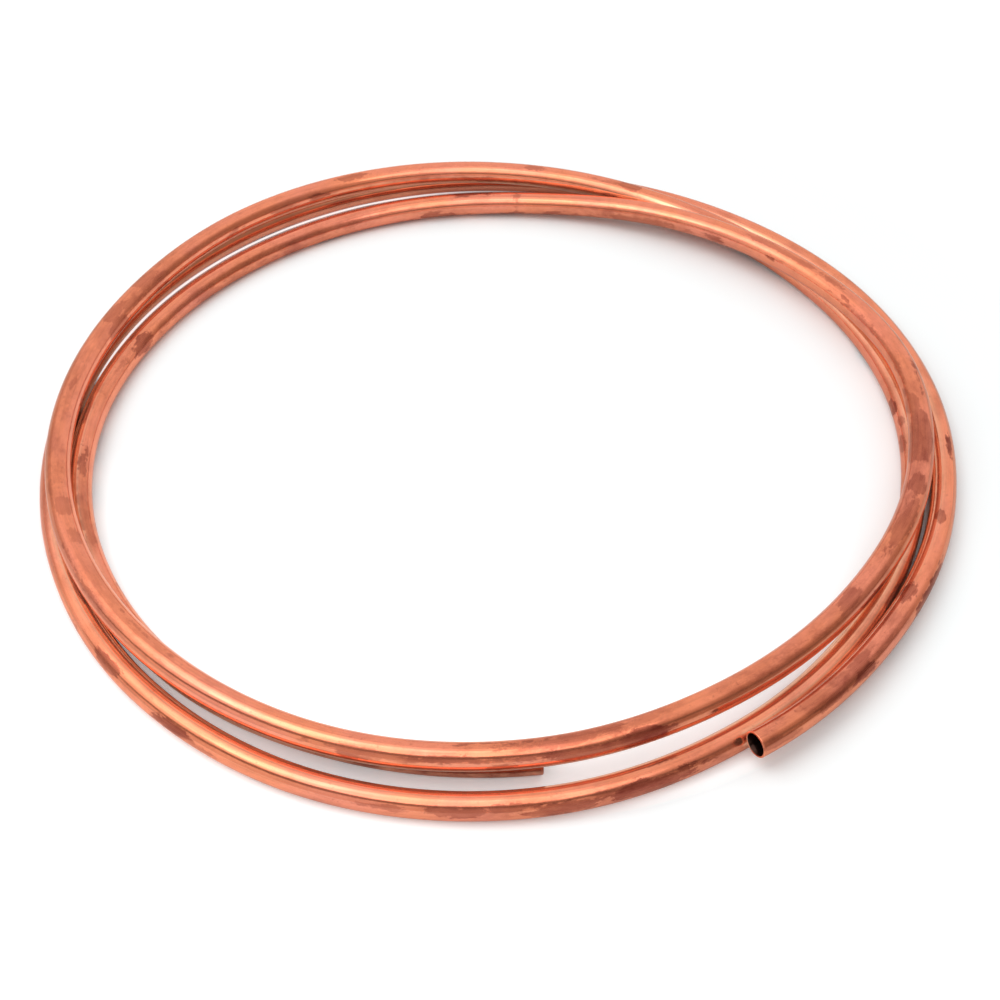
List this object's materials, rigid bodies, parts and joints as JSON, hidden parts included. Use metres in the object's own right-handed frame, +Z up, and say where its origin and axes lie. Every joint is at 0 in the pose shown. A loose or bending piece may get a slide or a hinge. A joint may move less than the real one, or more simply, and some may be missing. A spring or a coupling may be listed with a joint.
{
  "type": "coil of copper tube",
  "caption": "Length of bare soft copper tube wound into a loose flat coil of crossing turns, with one end lifted onto the turn beside it.",
  "frame": {"origin": "on the floor under the middle of the coil's bounding box", "axes": "+Z up, square to the floor that the coil lies flat on; -Y towards the side where both cut ends lie; +X to the right seen from there"},
  "size_m": [0.365, 0.3718, 0.0223],
  "materials": {
    "copper": "bare annealed copper, satin, with brown oxide patches and drawing streaks"
  },
  "bodies": {
    "root": {"copper_tube": "copper"}
  },
  "joints": []
}
